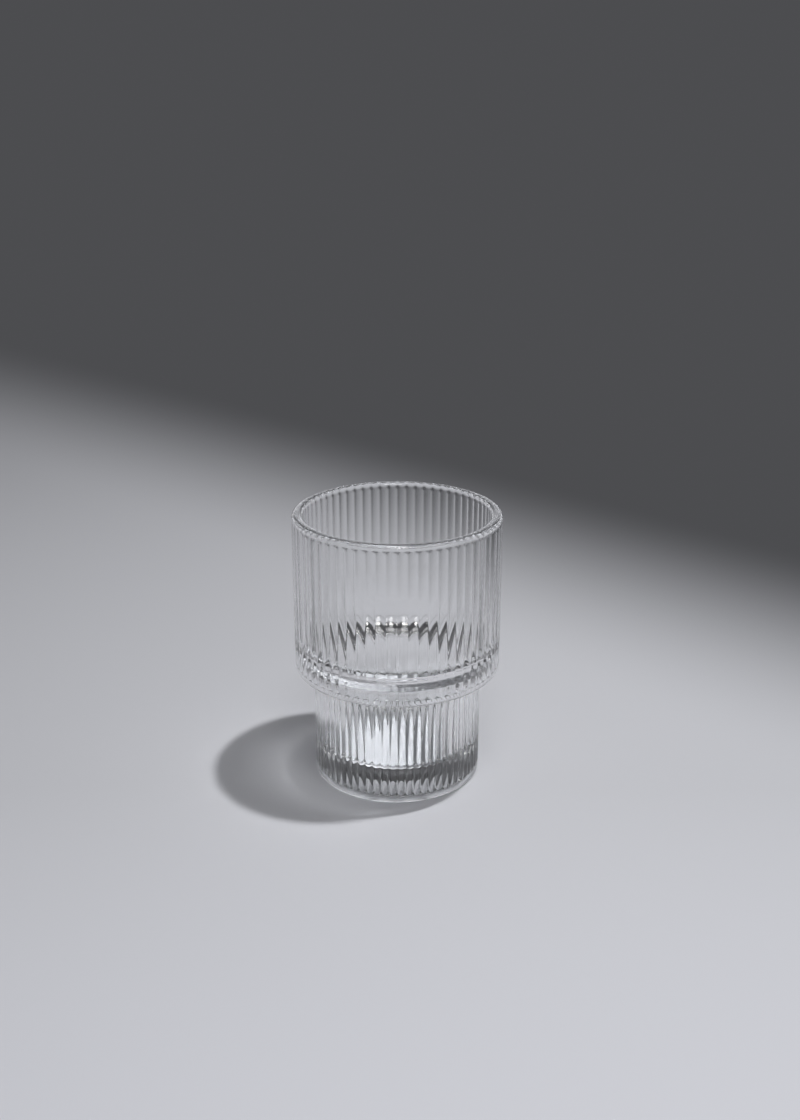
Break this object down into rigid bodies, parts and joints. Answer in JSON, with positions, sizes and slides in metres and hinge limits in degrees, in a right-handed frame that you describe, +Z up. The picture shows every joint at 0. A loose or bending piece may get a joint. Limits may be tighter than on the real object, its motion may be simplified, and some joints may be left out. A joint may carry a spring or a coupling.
{
  "type": "rocks glass",
  "caption": "Stacking rocks glass of clear pressed glass: a wide ribbed upper tier steps down to a narrower ribbed foot with a thick base.",
  "frame": {"origin": "middle of the flat ring that the glass stands on, at table height", "axes": "+Z up along the axis of the glass, out of its mouth; -Y is the side that faces the viewer"},
  "size_m": [0.08, 0.08, 0.107],
  "materials": {
    "clear_glass": "clear pressed glass, smooth inside, fire-polished rim"
  },
  "bodies": {
    "root": {"tumbler": "clear_glass"}
  },
  "joints": []
}
